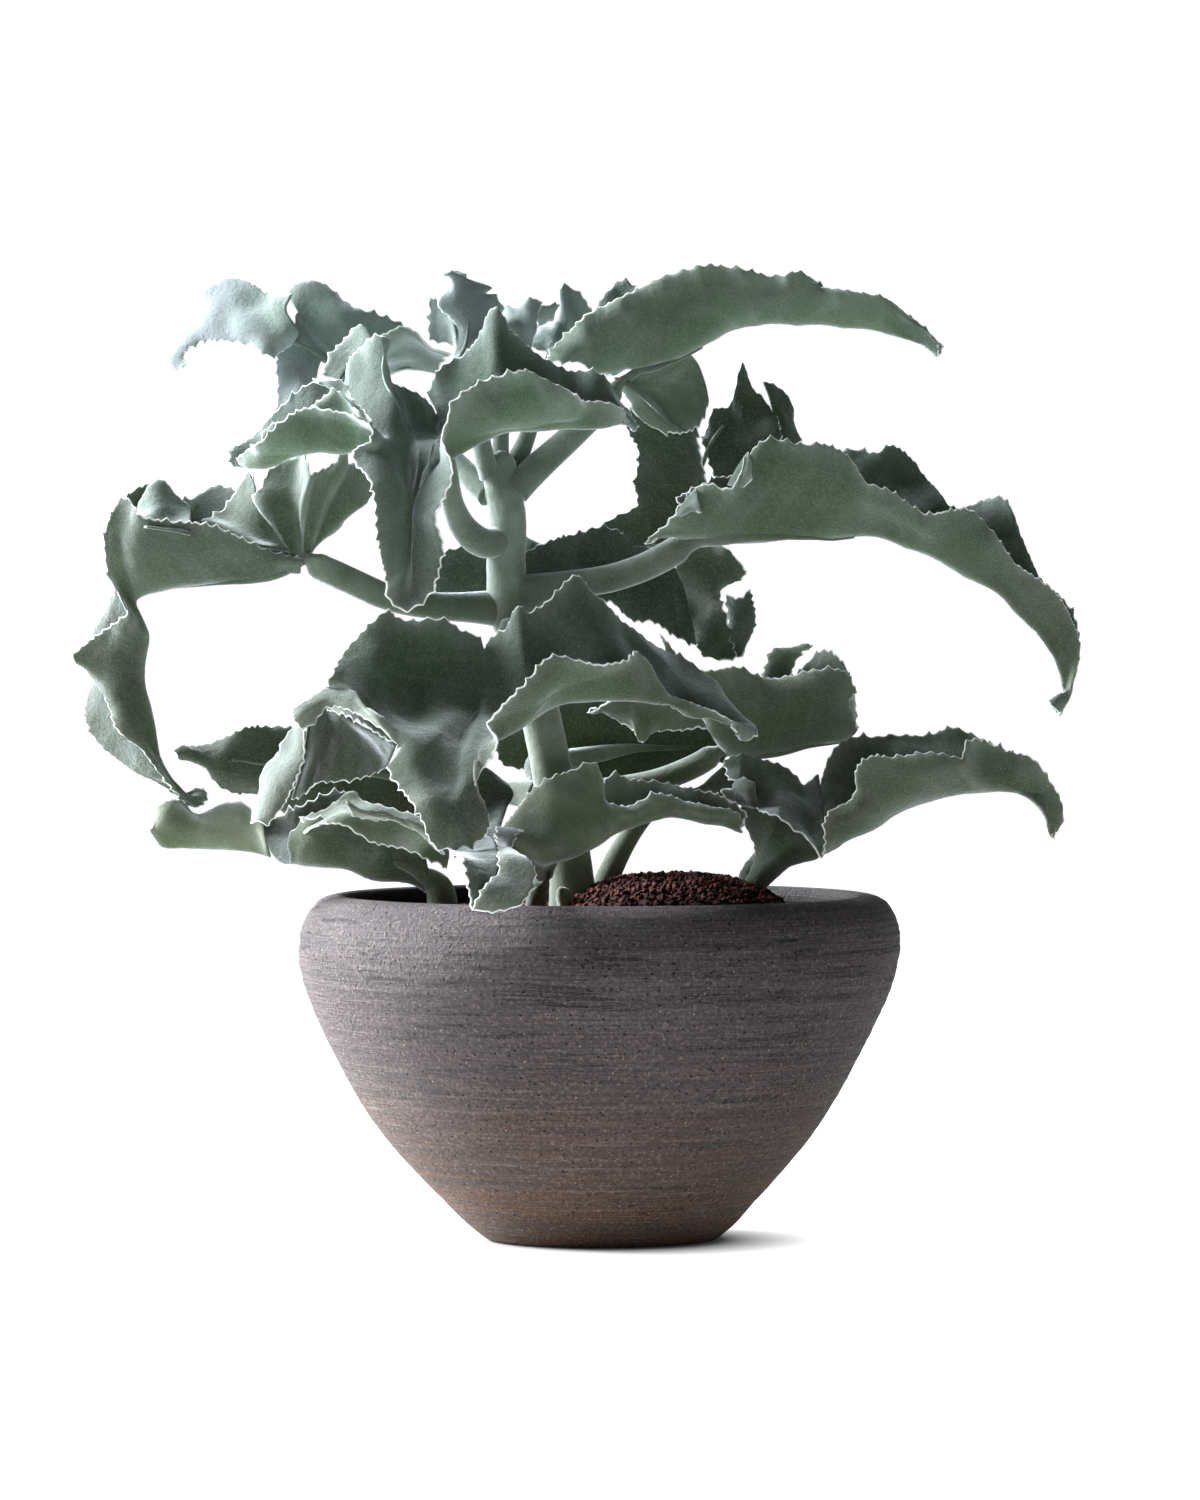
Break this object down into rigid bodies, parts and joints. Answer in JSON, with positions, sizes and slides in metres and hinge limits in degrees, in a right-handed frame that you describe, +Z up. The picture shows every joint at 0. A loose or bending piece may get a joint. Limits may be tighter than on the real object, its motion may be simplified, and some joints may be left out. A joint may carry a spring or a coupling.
{
  "type": "potted felt bush",
  "caption": "Velvety grey-green succulent bush with large, folded, tooth-edged three-lobed leaves on a thick stem, growing in a dark rounded stoneware bowl dressed with red lava grit.",
  "frame": {"origin": "centre of the bowl's flat foot, on the surface it stands on", "axes": "+Z up, -Y towards the side the picture shows, +X to the viewer's right"},
  "size_m": [0.503, 0.302, 0.4875],
  "materials": {
    "stoneware": "unglazed dark grey-brown stoneware, gritty, with fine throwing lines",
    "lava_grit": "matt red-brown crushed lava, 2 to 5 mm",
    "stem_felt": "pale grey-green stem under short white felt",
    "leaf_felt": "grey-green leaf under dense white felt, matt with a soft sheen",
    "young_leaf_felt": "young leaf, almost white with felt"
  },
  "bodies": {
    "root": {"pot": "stoneware", "lava_grit": "lava_grit", "stem": "stem_felt", "basal_bud": "stem_felt", "leaf_front_middle": "leaf_felt", "leaf_front_upper": "leaf_felt", "leaf_front_lower": "leaf_felt", "leaf_left_large": "leaf_felt", "leaf_right_large": "leaf_felt", "leaf_upper_right": "leaf_felt", "leaf_upper_left": "leaf_felt", "leaf_right_middle": "leaf_felt", "leaf_right_lower": "leaf_felt", "leaf_left_lower": "leaf_felt", "leaf_back_left": "leaf_felt", "leaf_back_upper": "leaf_felt", "leaf_back_middle": "leaf_felt", "leaf_back_lower": "leaf_felt", "leaf_right_back_small": "leaf_felt", "leaf_top_left": "young_leaf_felt", "leaf_top_middle": "young_leaf_felt", "leaf_top_right": "young_leaf_felt"}
  },
  "joints": []
}
